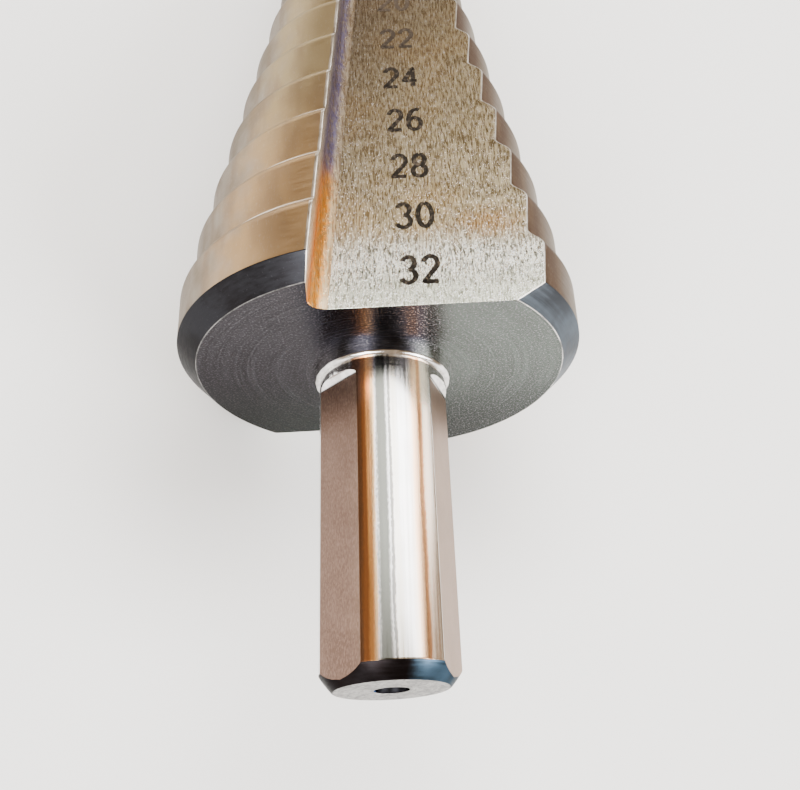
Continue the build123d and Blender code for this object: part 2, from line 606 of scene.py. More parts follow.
    def flat_distance(self, radius: float, position: float) -> float:
        """Distance of the flats from the axis, run out by the wheel's round edge near the collar.

        Args:
            radius: Radius of the round parts there.
            position: Distance from the back face, which is negative on the shank.

        Returns:
            The distance, or the radius where there is no flat.
        """
        run = -self.flat_shoulder - position
        if run <= 0:
            return radius
        left = max(0.0, self.flat_depth - run)
        cut = math.sqrt(self.flat_depth ** 2 - left ** 2)
        return min(radius, self.diameter / 2 - cut)

    def add_to(self, shell: Shell) -> list[int]:
        """Add the shank to the shell.

        Args:
            shell: The shell that is being built.

        Returns:
            The collar's ring on the back face.
        """
        rings: list[list[int]] = []
        surfaces: list[Surface] = []
        for radius, position, behind in self.profile():
            flat = self.flat_distance(radius, position)
            points, on_flat = self.outline(radius, flat)
            rings.append(shell.add_ring(points, position))
            if len(rings) > 1:
                shell.add_band(rings[-1], rings[-2], surfaces)
            run_out = position > -self.flat_shoulder - self.bright_share * self.flat_depth
            ground = Surface.COLLAR if run_out else Surface.FLAT
            surfaces = [ground if on and flat < radius else behind for on in on_flat]
        shell.add_face(tuple(rings[-1]), Surface.HOLE)
        return rings[0]


@dataclass
class ShaderSheet:
    """One material's node tree, with short calls for the nodes that the finishes use."""

    material: bpy.types.Material
    tree: bpy.types.NodeTree
    shader: bpy.types.Node

    @classmethod
    def named(cls, name: str) -> "ShaderSheet":
        """Start a material, with its shader joined to its output.

        Args:
            name: Name of the material.

        Returns:
            Its sheet.
        """
        material = bpy.data.materials.new(name)
        material.use_nodes = True
        shader = material.node_tree.nodes["Principled BSDF"]
        return cls(material, material.node_tree, shader)

    def node(self, kind: str, **settings: object) -> bpy.types.Node:
        """Add a node and set its properties.

        Args:
            kind: Blender's name for the node's type.
            settings: Properties to set on it.

        Returns:
            The node.
        """
        made = self.tree.nodes.new(kind)
        for name, value in settings.items():
            setattr(made, name, value)
        return made

    def feed(self, socket: Socket, value: Value) -> None:
        """Link an output into a socket, or set the socket to a plain value.

        Args:
            socket: The socket that takes it.
            value: An output or a plain value.
        """
        if isinstance(value, Socket):
            self.tree.links.new(value, socket)
        else:
            socket.default_value = value

    def fill(self, node: bpy.types.Node, values: dict[str, Value]) -> None:
        """Feed several of a node's inputs by their names."""
        for name, value in values.items():
            self.feed(node.inputs[name], value)

    @cached_property
    def place(self) -> Socket:
        """The point's drill coordinates in millimetres."""
        return self.node("ShaderNodeAttribute", attribute_name=PLACE).outputs["Vector"]

    @cached_property
    def parts(self) -> list[Socket]:
        """Take the drill coordinates apart.

        Returns:
            The point's u, v and s.
        """
        split = self.node("ShaderNodeSeparateXYZ")
        self.feed(split.inputs[0], self.place)
        return list(split.outputs)

    @property
    def u(self) -> Socket:
        """How far the point lies across the drill."""
        return self.parts[0]

    @property
    def v(self) -> Socket:
        """How far it lies above the axis."""
        return self.parts[1]

    @property
    def s(self) -> Socket:
        """How far it lies along the drill from the back face."""
        return self.parts[2]

    def join(self, x: Value, y: Value, z: Value) -> Socket:
        """Make a vector of three values.

        Args:
            x: First coordinate.
            y: Second coordinate.
            z: Third coordinate.

        Returns:
            The vector.
        """
        joined = self.node("ShaderNodeCombineXYZ")
        for socket, value in zip(joined.inputs, (x, y, z)):
            self.feed(socket, value)
        return joined.outputs[0]

    def maths(self, operation: str, first: Value, second: Value = 0.0) -> Socket:
        """Do a sum on one or two values.

        Args:
            operation: Blender's name for the sum.
            first: First value.
            second: Second value, where the sum takes one.

        Returns:
            The result.
        """
        made = self.node("ShaderNodeMath", operation=operation)
        self.feed(made.inputs[0], first)
        self.feed(made.inputs[1], second)
        return made.outputs[0]

    def plus(self, first: Value, second: Value) -> Socket:
        """The sum of two values."""
        return self.maths("ADD", first, second)

    def minus(self, first: Value, second: Value) -> Socket:
        """What is left of the first value without the second."""
        return self.maths("SUBTRACT", first, second)

    def times(self, first: Value, second: Value) -> Socket:
        """The product of two values."""
        return self.maths("MULTIPLY", first, second)

    def reach(self, first: Socket, second: Socket) -> Socket:
        """Length of a line from its lengths in two directions square to each other."""
        squares = self.plus(self.times(first, first), self.times(second, second))
        return self.maths("SQRT", squares)

    def wandering(self, value: Socket, amount: float, noise: Socket) -> Socket:
        """A value that noise moves by up to an amount, so that what it bounds is ragged."""
        return self.plus(value, self.times(noise, amount))

    def scaled(self, vector: Socket, by: tuple[float, float, float]) -> Socket:
        """Multiply each coordinate of a vector.

        Args:
            vector: The vector.
            by: Factor for each coordinate.

        Returns:
            The scaled vector.
        """
        made = self.node("ShaderNodeVectorMath", operation="MULTIPLY")
        self.feed(made.inputs[0], vector)
        self.feed(made.inputs[1], by)
        return made.outputs[0]

    def drawn(self, share: float) -> Socket:
        """Coordinates that draw a pattern out along the drill, more so for a small share."""
        return self.scaled(self.place, (1.0, 1.0, share))

    def noise(self, vector: Socket, scale: float, detail: float, rough: float) -> Socket:
        """Noise at a vector.

        Args:
            vector: Where to read it.
            scale: Cycles per unit of the vector.
            detail: Octaves.
            rough: Strength of the finer octaves.

        Returns:
            The noise, about 0 to 1.
        """
        made = self.node("ShaderNodeTexNoise")
        settings = {"Vector": vector, "Scale": scale, "Detail": detail, "Roughness": rough}
        self.fill(made, settings)
        return made.outputs["Fac"]

    def ramp(
        self, value: Value, low: float, high: float, start: float = 0.0, end: float = 1.0
    ) -> Socket:
        """Change smoothly from start to end as a value goes from low to high.

        Args:
            value: The value.
            low: Where the change starts.
            high: Where it ends.
            start: Result up to low.
            end: Result from high on.

        Returns:
            The result.
        """
        made = self.node("ShaderNodeMapRange", interpolation_type="SMOOTHSTEP")
        self.fill(made, {"Value": value, "From Min": low, "From Max": high})
        self.fill(made, {"To Min": start, "To Max": end})
        return made.outputs[0]

    def blend(self, share: Value, first: Value, second: Value) -> Socket:
        """Mix two colours.

        Args:
            share: How much of the second, from 0 to 1.
            first: Colour at 0.
            second: Colour at 1.

        Returns:
            The mixed colour.
        """
        made = self.node("ShaderNodeMix", data_type="RGBA")
        self.feed(made.inputs[0], share)
        for socket, value in ((made.inputs[6], first), (made.inputs[7], second)):
            self.feed(socket, (*value, 1.0) if isinstance(value, tuple) else value)
        return made.outputs[2]

    def bump(self, height: Socket, depth: float) -> None:
        """Give the shader a bump.

        Args:
            height: Height of the surface, 0 to 1.
            depth: What 1 stands for, in millimetres.
        """
        made = self.node("ShaderNodeBump")
        self.fill(made, {"Height": height, "Distance": depth * MM})
        self.feed(self.shader.inputs["Normal"], made.outputs[0])


@dataclass(frozen=True)
class Fade:
    """A share that changes smoothly from start to end as a value goes from low to high."""

    low: float
    high: float
    start: float = 0.0
    end: float = 1.0

    def at(self, sheet: ShaderSheet, value: Value) -> Socket:
        """The share at a value."""
        return sheet.ramp(value, self.low, self.high, self.start, self.end)


@dataclass(frozen=True)
class Wash:
    """A colour that is laid over another where its fade lets it show."""

    colour: Colour
    fade: Fade

    def over(self, sheet: ShaderSheet, value: Value, under: Value) -> Socket:
        """Lay it over a colour, by a value that its fade is read at."""
        return sheet.blend(self.fade.at(sheet, value), under, self.colour)


@dataclass(frozen=True)
class Mottle:
    """An irregular pattern: how fine it is, its octaves and how far it is drawn out."""

    scale: float
    detail: float = 2.0
    rough: float = 0.5
    draw: float = 1.0

    def at(self, sheet: ShaderSheet, vector: Socket) -> Socket:
        """The pattern at a vector, about 0 to 1."""
        return sheet.noise(vector, self.scale, self.detail, self.rough)

    def on(self, sheet: ShaderSheet) -> Socket:
        """The pattern at the drill's own points, drawn out along it."""
        return self.at(sheet, sheet.drawn(self.draw))


@dataclass(frozen=True)
class SteelFinish:
    """Steel as one tool left it: its colours, its grain and how sharply it reflects."""

    name: str
    colour: Colour
    worn: Colour
    grain: Grain = Grain.AXIAL
    lines: float = 7.0
    stretch: float = 0.05
    patch: float = 4.0
    roughness: float = 0.3
    roughness_swing: float = 0.1
    depth: float = 0.004
    specks: float = 0.0
    speck_scale: float = 7.0
    speck_height: float = 0.8
    sparse: float = 0.58
    gleam: float = 1.5
    polish: float = 0.05
    fleck_border: float = 0.12
    speck_draw: float = 0.4
    contrast: float = 0.3
    wear: Fade = Fade(0.38, 0.62)
    swing: Fade = Fade(0.3, 0.7, -0.5, 0.5)
    edge_tint: float = 1.0
    octaves: float = 3.0
    line_rough: float = 0.65
    rough: float = 0.6
    turned_share: float = 0.3

    def grain_vector(self, sheet: ShaderSheet) -> Socket:
        """Find coordinates in which the finish's marks are long one way and fine across it.

        Args:
            sheet: The material's sheet.

        Returns:
            The coordinates.
        """
        if self.grain is Grain.AXIAL:
            return sheet.drawn(self.stretch)
        slow = sheet.times(sheet.plus(sheet.u, sheet.v), self.stretch * self.turned_share)
        return sheet.join(sheet.reach(sheet.u, sheet.v), slow, sheet.s)

    def tint(self, sheet: ShaderSheet, colour: Socket) -> Socket:
        """The colour once heat or dirt has changed it; plain steel keeps its own."""
        return colour

    def sparkle(self, sheet: ShaderSheet, fleck: Socket) -> Socket:
        """How strongly the flecks show; plain steel has them evenly all over."""
        return sheet.times(fleck, self.specks)

    def make(self) -> bpy.types.Material:
        """Build the material.

        Returns:
            The material.
        """
        sheet = ShaderSheet.named(self.name)
        lines = sheet.noise(self.grain_vector(sheet), self.lines, self.octaves, self.line_rough)
        patches = Mottle(1 / self.patch, self.octaves, self.rough).on(sheet)
        broad = sheet.times(patches, 1 - self.contrast)
        share = self.wear.at(sheet, sheet.plus(broad, sheet.times(lines, self.contrast)))
        colour = self.tint(sheet, sheet.blend(share, self.colour, self.worn))
        height = lines
        swing = sheet.times(self.swing.at(sheet, lines), self.roughness_swing)
        sheen = sheet.plus(swing, self.roughness)
        if self.specks > 0:
            spots = Mottle(self.speck_scale, rough=self.rough, draw=self.speck_draw).on(sheet)
            fleck = sheet.ramp(spots, self.sparse, self.sparse + self.fleck_border)
            shown = self.sparkle(sheet, fleck)
            gleaming = tuple(min(1.0, self.gleam * part) for part in self.worn)
            colour = sheet.blend(shown, colour, gleaming)
            height = sheet.plus(lines, sheet.times(shown, self.speck_height))
            sheen = sheet.minus(sheen, sheet.times(shown, self.polish))
        sheet.fill(sheet.shader, {"Base Color": colour, "Metallic": 1.0, "Roughness": sheen})
        sheet.fill(sheet.shader, {"Specular Tint": (*(self.edge_tint,) * 3, 1.0)})
        sheet.bump(height, self.depth)
        return sheet.material


@dataclass(frozen=True)
class LandFinish(SteelFinish):
    """The ground lands, heat-browned beside the cutting edge and at the heel."""

    browned: Colour = (0.42, 0.27, 0.13)
    browning: Fade = Fade(-0.70, -0.42, 0.9, 0.0)
    wander: float = 0.36
    ragged: Mottle = Mottle(0.45, 3.0)
    olive: Wash = Wash((0.37, 0.285, 0.155), Fade(9.0, 24.0))
    heel: Wash = Wash((0.085, 0.050, 0.032), Fade(0.26, 0.56, 0.0, 0.9))
    streak: Wash = Wash((0.20, 0.135, 0.085), Fade(0.46, 0.64, 0.0, 0.45))
    streaks: Mottle = Mottle(7.0, 3.0, 0.6)
    streak_run: float = 0.012

    def tint(self, sheet: ShaderSheet, colour: Socket) -> Socket:
        """Brown by how far round each land a point lies; the two lands are half a turn apart.

        Args:
            sheet: The material's sheet.
            colour: The steel's own colour.

        Returns:
            The changed colour.
        """
        side = sheet.times(sheet.v, sheet.maths("SIGN", sheet.u))
        height = sheet.maths("DIVIDE", side, sheet.reach(sheet.u, sheet.v))
        uneven = sheet.wandering(height, self.wander, self.ragged.on(sheet))
        hue = self.olive.over(sheet, sheet.s, self.browned)
        browned = sheet.blend(self.browning.at(sheet, uneven), colour, hue)
        heeled = self.heel.over(sheet, height, browned)
        around = sheet.join(height, sheet.times(sheet.s, self.streak_run), 0.0)
        return self.streak.over(sheet, self.streaks.at(sheet, around), heeled)


@dataclass(frozen=True)
class FloorFinish(SteelFinish):
    """The ground flute floor: silver by the back face, olive brown further along."""

    scored: Colour = (0.13, 0.135, 0.10)
    scores: Mottle = Mottle(7.0, 3.0, 0.7, draw=0.22)
    silver: Wash = Wash((1.0, 1.0, 0.90), Fade(0.40, 0.53))
    silver_back: Fade = Fade(7.0, 10.4, 0.94, 0.0)
    dull: Wash = Wash((0.42, 0.45, 0.35), Fade(3.6, 6.4, 0.6, 0.0))
    brown: Wash = Wash((0.52, 0.36, 0.17), Fade(0.42, 0.66, 0.0, 0.45))
    brown_patches: Mottle = Mottle(0.16)
    shade: Wash = Wash((0.17, 0.135, 0.10), Fade(4.0, 44.0, 0.0, 0.85))
    tongue: float = 5.0
    tongues: Mottle = Mottle(1.98, 5.0, 0.75, draw=0.4 / 1.8)
    slant: float = -1.6
    flecks: Fade = Fade(8.0, 45.0, 1.0, 0.1)
    burn: Wash = Wash((0.44, 0.26, 0.10), Fade(1.8, 3.9, 0.7, 0.0))
    burn_place: Point = (8.7, 7.6)
    burn_squash: float = 0.6
    burn_wander: float = 3.0
    burn_ragged: Mottle = Mottle(1.4, 4.0, 0.7)

    def tint(self, sheet: ShaderSheet, colour: Socket) -> Socket:
        """Silver near the back, browner patches beyond, and darker towards the tip and the root.

        Args:
            sheet: The material's sheet.
            colour: The steel's own colour.

        Returns:
            The changed colour.
        """
        browned = self.brown.over(sheet, self.brown_patches.on(sheet), colour)
        along = sheet.wandering(sheet.s, self.tongue, self.tongues.on(sheet))
        aslant = sheet.plus(along, sheet.times(sheet.u, self.slant))
        shaded = self.shade.over(sheet, aslant, browned)
        silver = self.silver.over(sheet, self.scores.on(sheet), self.scored)
        bright = self.dull.over(sheet, along, silver)
        ground = sheet.blend(self.silver_back.at(sheet, along), shaded, bright)
        return self.burn.over(sheet, self.from_burn(sheet), ground)

    def sparkle(self, sheet: ShaderSheet, fleck: Socket) -> Socket:
        """Flecks that grow fewer towards the tip."""
        return sheet.times(super().sparkle(sheet, fleck), self.flecks.at(sheet, sheet.s))

    def from_burn(self, sheet: ShaderSheet) -> Socket:
        """How far a point lies from the grinding burn beside the trailing edge.

        Args:
            sheet: The material's sheet.

        Returns:
            The distance, made ragged so that the burn has no clean border.
        """
        across = sheet.times(sheet.minus(sheet.u, self.burn_place[0]), self.burn_squash)
        along = sheet.minus(sheet.s, self.burn_place[1])
        off = sheet.reach(across, along)
        return sheet.wandering(off, self.burn_wander, self.burn_ragged.on(sheet))


@dataclass(frozen=True)
class RootFinish(SteelFinish):
    """The rounding at the foot of the cutting wall, coloured by grinding heat."""

    straw: Colour = (1.0, 0.40, 0.035)
    violet: Wash = Wash((0.20, 0.19, 0.42), Fade(13.0, 18.0))
    wander: float = 5.0
    border: Mottle = Mottle(0.8)
    patches: Fade = Fade(0.35, 0.7, 0.95, 0.55)
    mottle: Mottle = Mottle(2.4, 3.0)
    foot: Fade = Fade(-0.15, 0.12, 0.15, 1.0)
    foot_wander: float = -0.3
    foot_ragged: Mottle = Mottle(3.0, 3.0, 0.7)
    flute: Flute = field(default_factory=Flute)

    def height(self, sheet: ShaderSheet) -> Socket:
        """Height above the flute's floor, in millimetres.

        Args:
            sheet: The material's sheet.

        Returns:
            The height.
        """
        fall = (self.flute.floor_tip - self.flute.floor_back) / self.flute.run_out
        above = sheet.minus(sheet.maths("ABSOLUTE", sheet.v), sheet.times(sheet.s, fall))
        return sheet.minus(above, self.flute.floor_back)

    def heated(self, sheet: ShaderSheet, colour: Socket) -> Socket:
        """Straw to orange near the back face, violet to blue towards the tip.

        Args:
            sheet: The material's sheet.
            colour: The bare steel's colour.

        Returns:
            The tinted colour.
        """
        along = sheet.wandering(sheet.s, self.wander, self.border.on(sheet))
        hot = self.violet.over(sheet, along, self.straw)
        return sheet.blend(self.patches.at(sheet, self.mottle.on(sheet)), colour, hot)

    def tint(self, sheet: ShaderSheet, colour: Socket) -> Socket:
        """The heat colours, fading into the floor's grey where the rounding meets it.

        Args:
            sheet: The material's sheet.
            colour: The steel's own colour.

        Returns:
            The changed colour.
        """
        ragged = self.foot_ragged.on(sheet)
        uneven = sheet.wandering(self.height(sheet), self.foot_wander, ragged)
        return sheet.blend(self.foot.at(sheet, uneven), colour, self.heated(sheet, colour))


@dataclass(frozen=True)
class WallFinish(RootFinish):
    """The cutting wall: heat tinted at its foot, bright ground steel towards the cutting edge."""

    cooling: Fade = Fade(2.2, 5.6, 0.0, 0.9)
    cooling_ragged: Mottle = Mottle(0.9, 3.0)

    def tint(self, sheet: ShaderSheet, colour: Socket) -> Socket:
        """The root's colours, fading out with the height above the flute floor."""
        uneven = sheet.plus(self.height(sheet), self.cooling_ragged.on(sheet))
        return sheet.blend(self.cooling.at(sheet, uneven), self.heated(sheet, colour), colour)


@dataclass(frozen=True)
class SidedFinish(SteelFinish):
    """Steel with painted light: its own colour on one side of the drill, a lit copy of it on the
    other.
    """

    # painted light: a lit copy of the steel's colour, laid on one side of the drill
    lit: Colour = (0.10, 0.13, 0.17)
    side: Fade = Fade(-4.0, 8.0)
    wander: float = 4.0
    border: Mottle = Mottle(0.35, 4.0, 0.6)

    def tint(self, sheet: ShaderSheet, colour: Socket) -> Socket:
        """Its own colour on one side, the painted lit one on the other, with an uneven border.

        Args:
            sheet: The material's sheet.
            colour: The steel's own colour.

        Returns:
            The changed colour.
        """
        uneven = sheet.wandering(sheet.u, self.wander, self.border.on(sheet))
        gain = tuple(
            2 * lit / (plain + worn) for lit, plain, worn in zip(self.lit, self.colour, self.worn)
        )
        return sheet.blend(self.side.at(sheet, uneven), colour, sheet.scaled(colour, gain))


@dataclass(frozen=True)
class BackFaceFinish(SidedFinish):
    """The turned back face, with a painted lit side and painted shade above the collar."""

    # painted shade: a dark patch just above the collar
    stain: Colour = (0.020, 0.020, 0.026)
    stain_sides: Fade = Fade(3.2, 6.0, 1.0, 0.0)
    stain_foot: Fade = Fade(2.0, 6.0)
    low: Wash = Wash((0.045, 0.050, 0.046), Fade(-10.0, 2.5, 0.8, 0.0))
    flecks: Fade = Fade(1.0, 6.0, 0.25, 1.0)

    def tint(self, sheet: ShaderSheet, colour: Socket) -> Socket:
        """The sided colour, with painted shade that fades out from the collar.

        Args:
            sheet: The material's sheet.
            colour: The steel's own colour.

        Returns:
            The changed colour.
        """
        sided = self.low.over(sheet, sheet.v, super().tint(sheet, colour))
        # painted shade, strongest just above the collar
        near = self.stain_sides.at(sheet, sheet.maths("ABSOLUTE", sheet.u))
        share = sheet.times(near, self.stain_foot.at(sheet, sheet.v))
        return sheet.blend(share, sided, self.stain)

    def sparkle(self, sheet: ShaderSheet, fleck: Socket) -> Socket:
        """Flecks that show most on the lit side."""
        return sheet.times(super().sparkle(sheet, fleck), self.flecks.at(sheet, sheet.u))


@dataclass(frozen=True)
class HeatBand:
    """One painted reflection band along the shank: where it lies across, how wide it is and its
    colour.
    """

    middle: float
    reach: float
    strength: float
    colour: Colour
    core: float = 0.4

    def over(self, sheet: ShaderSheet, across: Socket, under: Socket) -> Socket:
        """Lay the band over a colour.

        Args:
            sheet: The material's sheet.
            across: How far the point lies across the drill, with the wander of the bands.
            under: The colour under it.

        Returns:
            The changed colour.
        """
        off = sheet.maths("ABSOLUTE", sheet.minus(across, self.middle))
        share = Fade(self.reach * self.core, self.reach, self.strength, 0.0).at(sheet, off)
        return sheet.blend(share, under, self.colour)


@dataclass(frozen=True)
class BandedShankFinish(SteelFinish):
    """The polished shank, with painted reflection bands that run along it."""

    sway: float = 0.4
    swaying: Mottle = Mottle(1.6, 4.0, 0.7, draw=0.06)
    waver: float = 0.24
    wavering: Mottle = Mottle(7.0, 3.0, 0.7, draw=0.5)
    # painted reflections of the room: dark, pale and orange bands along the shank
    bands: tuple[HeatBand, ...] = (
        HeatBand(0.64, 0.15, 0.85, (0.09, 0.085, 0.075)),
        HeatBand(0.95, 0.30, 0.50, (0.62, 0.56, 0.44)),
        HeatBand(0.02, 0.62, 0.96, (0.085, 0.088, 0.074)),
        HeatBand(-1.22, 0.55, 0.97, (0.50, 0.20, 0.065)),
        HeatBand(-0.80, 0.40, 0.94, (1.0, 0.50, 0.18)),
        HeatBand(-1.80, 0.50, 0.97, (0.24, 0.12, 0.065)),
        HeatBand(-0.64, 0.13, 0.85, (1.0, 0.68, 0.36)),
        HeatBand(2.85, 1.10, 0.62, (0.88, 0.62, 0.42)),
        HeatBand(2.62, 0.50, 0.70, (0.86, 0.48, 0.24)),
        HeatBand(2.79, 0.20, 0.72, (0.42, 0.17, 0.055)),
    )

    def tint(self, sheet: ShaderSheet, colour: Socket) -> Socket:
        """Lay each painted reflection band over the steel, with edges that wander a little along
        the shank.

        Args:
            sheet: The material's sheet.
            colour: The steel's own colour.

        Returns:
            The changed colour.
        """
        broad = sheet.times(self.swaying.on(sheet), self.sway)
        fine = sheet.times(self.wavering.on(sheet), self.waver)
        wander = sheet.minus(sheet.plus(broad, fine), (self.sway + self.waver) / 2)
        across = sheet.plus(sheet.u, wander)
        for band in self.bands:
            colour = band.over(sheet, across, colour)
        return colour


@dataclass(frozen=True)
class NumberFinish:
    """Electro-etched marks: brown-black and slightly broken up by the grain."""

    name: str = "etched_mark"
    colour: Colour = (0.008, 0.006, 0.004)
    thin: Wash = Wash((0.085, 0.065, 0.045), Fade(0.5, 0.66))
    faded: Wash = Wash((0.11, 0.08, 0.055), Fade(20.0, 50.0, 0.0, 0.8))
    breaks: Mottle = Mottle(5.0, 3.0, 0.7, draw=0.6)
    gloss: float = 0.1
    roughness: Fade = Fade(0.3, 0.7, 0.75, 0.6)
    depth: float = 0.01

    def make(self) -> bpy.types.Material:
        """Build the material.

        Returns:
            The material.
        """
        sheet = ShaderSheet.named(self.name)
        broken = self.breaks.on(sheet)
        inked = self.thin.over(sheet, broken, self.colour)
        sheet.fill(sheet.shader, {
            "Base Color": self.faded.over(sheet, sheet.s, inked),
            "Metallic": 0.0,
            "Specular IOR Level": self.gloss,
            "Roughness": self.roughness.at(sheet, broken),
        })
        sheet.bump(broken, self.depth)
        return sheet.material


def surface_finishes() -> dict[Surface, SteelFinish]:
    """Choose the finish of each surface of the drill.

    Returns:
        The finishes by surface.
    """
    bright = SteelFinish(
        "bright_edge", (0.46, 0.42, 0.36), (0.80, 0.77, 0.72),
        lines=4.0, stretch=0.3, patch=2.0, roughness=0.34, depth=0.003,
    )
    return {
        Surface.LAND: LandFinish(
            "ground_land", (0.25, 0.205, 0.155), (0.34, 0.295, 0.245), Grain.TURNED,
            lines=6.0, stretch=0.2, patch=4.0, roughness=0.38, depth=0.003, specks=0.15,
            contrast=0.2, edge_tint=0.5,
        ),
        Surface.FLANK: SteelFinish(
            "ground_flank", (0.60, 0.50, 0.39), (0.76, 0.68, 0.58), Grain.TURNED,
            lines=7.0, stretch=0.2, patch=5.0, roughness=0.28, depth=0.002,
        ),
        Surface.FLOOR: FloorFinish(
            "ground_flute_floor", (0.285, 0.235, 0.138), (0.555, 0.475, 0.305),
            lines=9.0, stretch=0.011, patch=1.6, roughness=0.29, roughness_swing=0.16,
            depth=0.006, specks=1.0, speck_scale=8.5, sparse=0.55, gleam=4.0, polish=0.12,
            contrast=0.74,
        ),
        Surface.ROOT: RootFinish(
            "heat_tinted_root", (0.40, 0.32, 0.20), (0.58, 0.49, 0.33),
            lines=5.0, stretch=0.08, patch=3.0, roughness=0.28, depth=0.012, specks=0.6,
            contrast=0.6,
        ),
        Surface.WALL: WallFinish(
            "heat_tinted_wall", (0.42, 0.37, 0.32), (0.66, 0.60, 0.54),
            lines=7.0, stretch=0.08, patch=3.0, roughness=0.3, depth=0.006,
            straw=(0.62, 0.26, 0.05), violet=Wash((0.060, 0.060, 0.165), Fade(13.0, 18.0)),
        ),
        Surface.EDGE: bright,
        Surface.MARGIN: replace(
            bright, name="bright_margin", colour=(0.30, 0.25, 0.19), worn=(0.56, 0.50, 0.42),
        ),
        # painted highlight on the rim's lit side
        Surface.RIM: SidedFinish(
            "worn_rim_painted_highlight", (0.04, 0.04, 0.04), (0.22, 0.215, 0.21), Grain.TURNED,
            lines=3.0, stretch=0.5, patch=2.0, roughness=0.34, depth=0.004, specks=0.3,
            lit=(0.42, 0.41, 0.40), side=Fade(0.0, 7.0),
        ),
        # painted light: the bevel's lit side
        Surface.BEVEL: SidedFinish(
            "dark_bevel_painted_lit_side", (0.012, 0.011, 0.012), (0.021, 0.021, 0.024), Grain.TURNED,
            lines=5.0, stretch=0.4, patch=5.0, roughness=0.36, depth=0.008, specks=0.25,
            speck_scale=8.0, sparse=0.64, gleam=4.0, edge_tint=0.6, lit=(0.078, 0.092, 0.110),
        ),
        # painted light on the back face's lit side, and painted shade above the collar
        Surface.BACK: BackFaceFinish(
            "dark_back_face_painted_light_and_shade", (0.044, 0.041, 0.044), (0.060, 0.057, 0.062), Grain.TURNED,
            lines=5.2, stretch=0.04, patch=4.0, roughness=0.22, roughness_swing=0.14,
            depth=0.018, specks=0.9, speck_scale=6.5, sparse=0.53, gleam=5.5, contrast=0.8,
            edge_tint=0.45, lit=(0.125, 0.142, 0.128), side=Fade(-1.0, 8.0),
        ),
        Surface.COLLAR: SteelFinish(
            "bright_collar", (0.56, 0.54, 0.53), (0.86, 0.84, 0.82), Grain.TURNED,
            lines=6.0, stretch=0.2, patch=0.9, roughness=0.18, depth=0.004, contrast=0.25,
        ),
        # painted reflections: the shank's bands
        Surface.SHANK: BandedShankFinish(
            "polished_shank_painted_reflections", (0.62, 0.60, 0.58), (0.98, 0.97, 0.96),
            lines=4.5, stretch=0.015, patch=6.0, roughness=0.2, depth=0.004, contrast=0.6,
        ),
        # painted light: the flats on the lit side
        Surface.FLAT: SidedFinish(
            "ground_chuck_flat_painted_lit_side", (0.125, 0.074, 0.053), (0.17, 0.107, 0.080),
            lines=6.5, stretch=0.6, patch=4.0, roughness=0.4, depth=0.010, specks=0.35,
            speck_scale=9.0, sparse=0.50, gleam=1.8, contrast=0.6,
            lit=(0.28, 0.185, 0.13), side=Fade(-1.0, 3.0),
        ),
        # painted light: the chamfer's lit side
        Surface.CHAMFER: SidedFinish(
            "dark_chamfer_painted_lit_side", (0.008, 0.006, 0.006), (0.013, 0.011, 0.012), Grain.TURNED,
            lines=5.0, stretch=0.4, patch=2.0, roughness=0.34, depth=0.006, specks=0.15,
            edge_tint=0.5, lit=(0.030, 0.050, 0.072), side=Fade(3.0, 4.4),
        ),
        Surface.END: SteelFinish(
            "ground_end_face", (0.15, 0.145, 0.138), (0.46, 0.45, 0.435), Grain.TURNED,
            lines=5.0, stretch=0.6, patch=1.0, roughness=0.36, depth=0.014, specks=0.85,
            speck_scale=3.2, sparse=0.50, gleam=0.12, contrast=0.6, edge_tint=0.75,
        ),
        # painted glint: blue on one side of the centre hole
        Surface.HOLE: SidedFinish(
            "centre_hole", (0.005, 0.005, 0.006), (0.012, 0.012, 0.014), Grain.TURNED,
            lines=5.0, stretch=0.3, patch=1.0, roughness=0.4, depth=0.004, edge_tint=0.3,
            lit=(0.10, 0.22, 0.50), side=Fade(1.7, 1.1),
        ),
    }


@dataclass
class DrillBody:
    """The whole drill as one ground piece."""

    cone: SteppedCone = field(default_factory=SteppedCone)
    shank: ChuckShank = field(default_factory=ChuckShank)
    sharp_from: float = math.radians(40)

    def build(self, place: DrillFrame) -> bpy.types.Object:
        """Make the drill and give each surface its finish.

        Args:
            place: The drill's frame.

        Returns:
            The dressed piece.
        """
        shell = Shell()
        rim = self.cone.add_to(shell)
        collar = self.shank.add_to(shell)
        self.close_back(shell, rim, collar)
        finishes = surface_finishes()
        piece = shell.build("drill_body", place, [finishes[surface].make() for surface in Surface])
        piece.data.set_sharp_from_angle(angle=self.sharp_from)
        weighted = piece.modifiers.new("even_shading", "WEIGHTED_NORMAL")
        weighted.keep_sharp = True
        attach(piece, "root")
        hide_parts("step_drill")
        return piece

    def close_back(self, shell: Shell, rim: list[int], collar: list[int]) -> None:
        """Fill the flat back face between the cone's rim and the collar.

        Args:
            shell: The shell that is being built.
            rim: The cone's first ring.
            collar: The collar's ring on the back face.
        """
        numbers = rim + collar
        spots = [Vector(shell.points[index][:2]) for index in numbers]
        edges: list[tuple[int, int]] = []
        for first, count in ((0, len(rim)), (len(rim), len(collar))):
            edges += [(first + index, first + (index + 1) % count) for index in range(count)]
        made, _, triangles, sources, _, _ = delaunay_2d_cdt(spots, edges, [], 1, 1e-7)
        hole = self.shank.diameter / 2
        for triangle in triangles:
            middle = sum((made[index] for index in triangle), Vector((0, 0))) / 3
            if middle.length > hole:
                corners = [numbers[sources[index][0]] for index in triangle]
                shell.add_face(tuple(reversed(corners)), Surface.BACK)


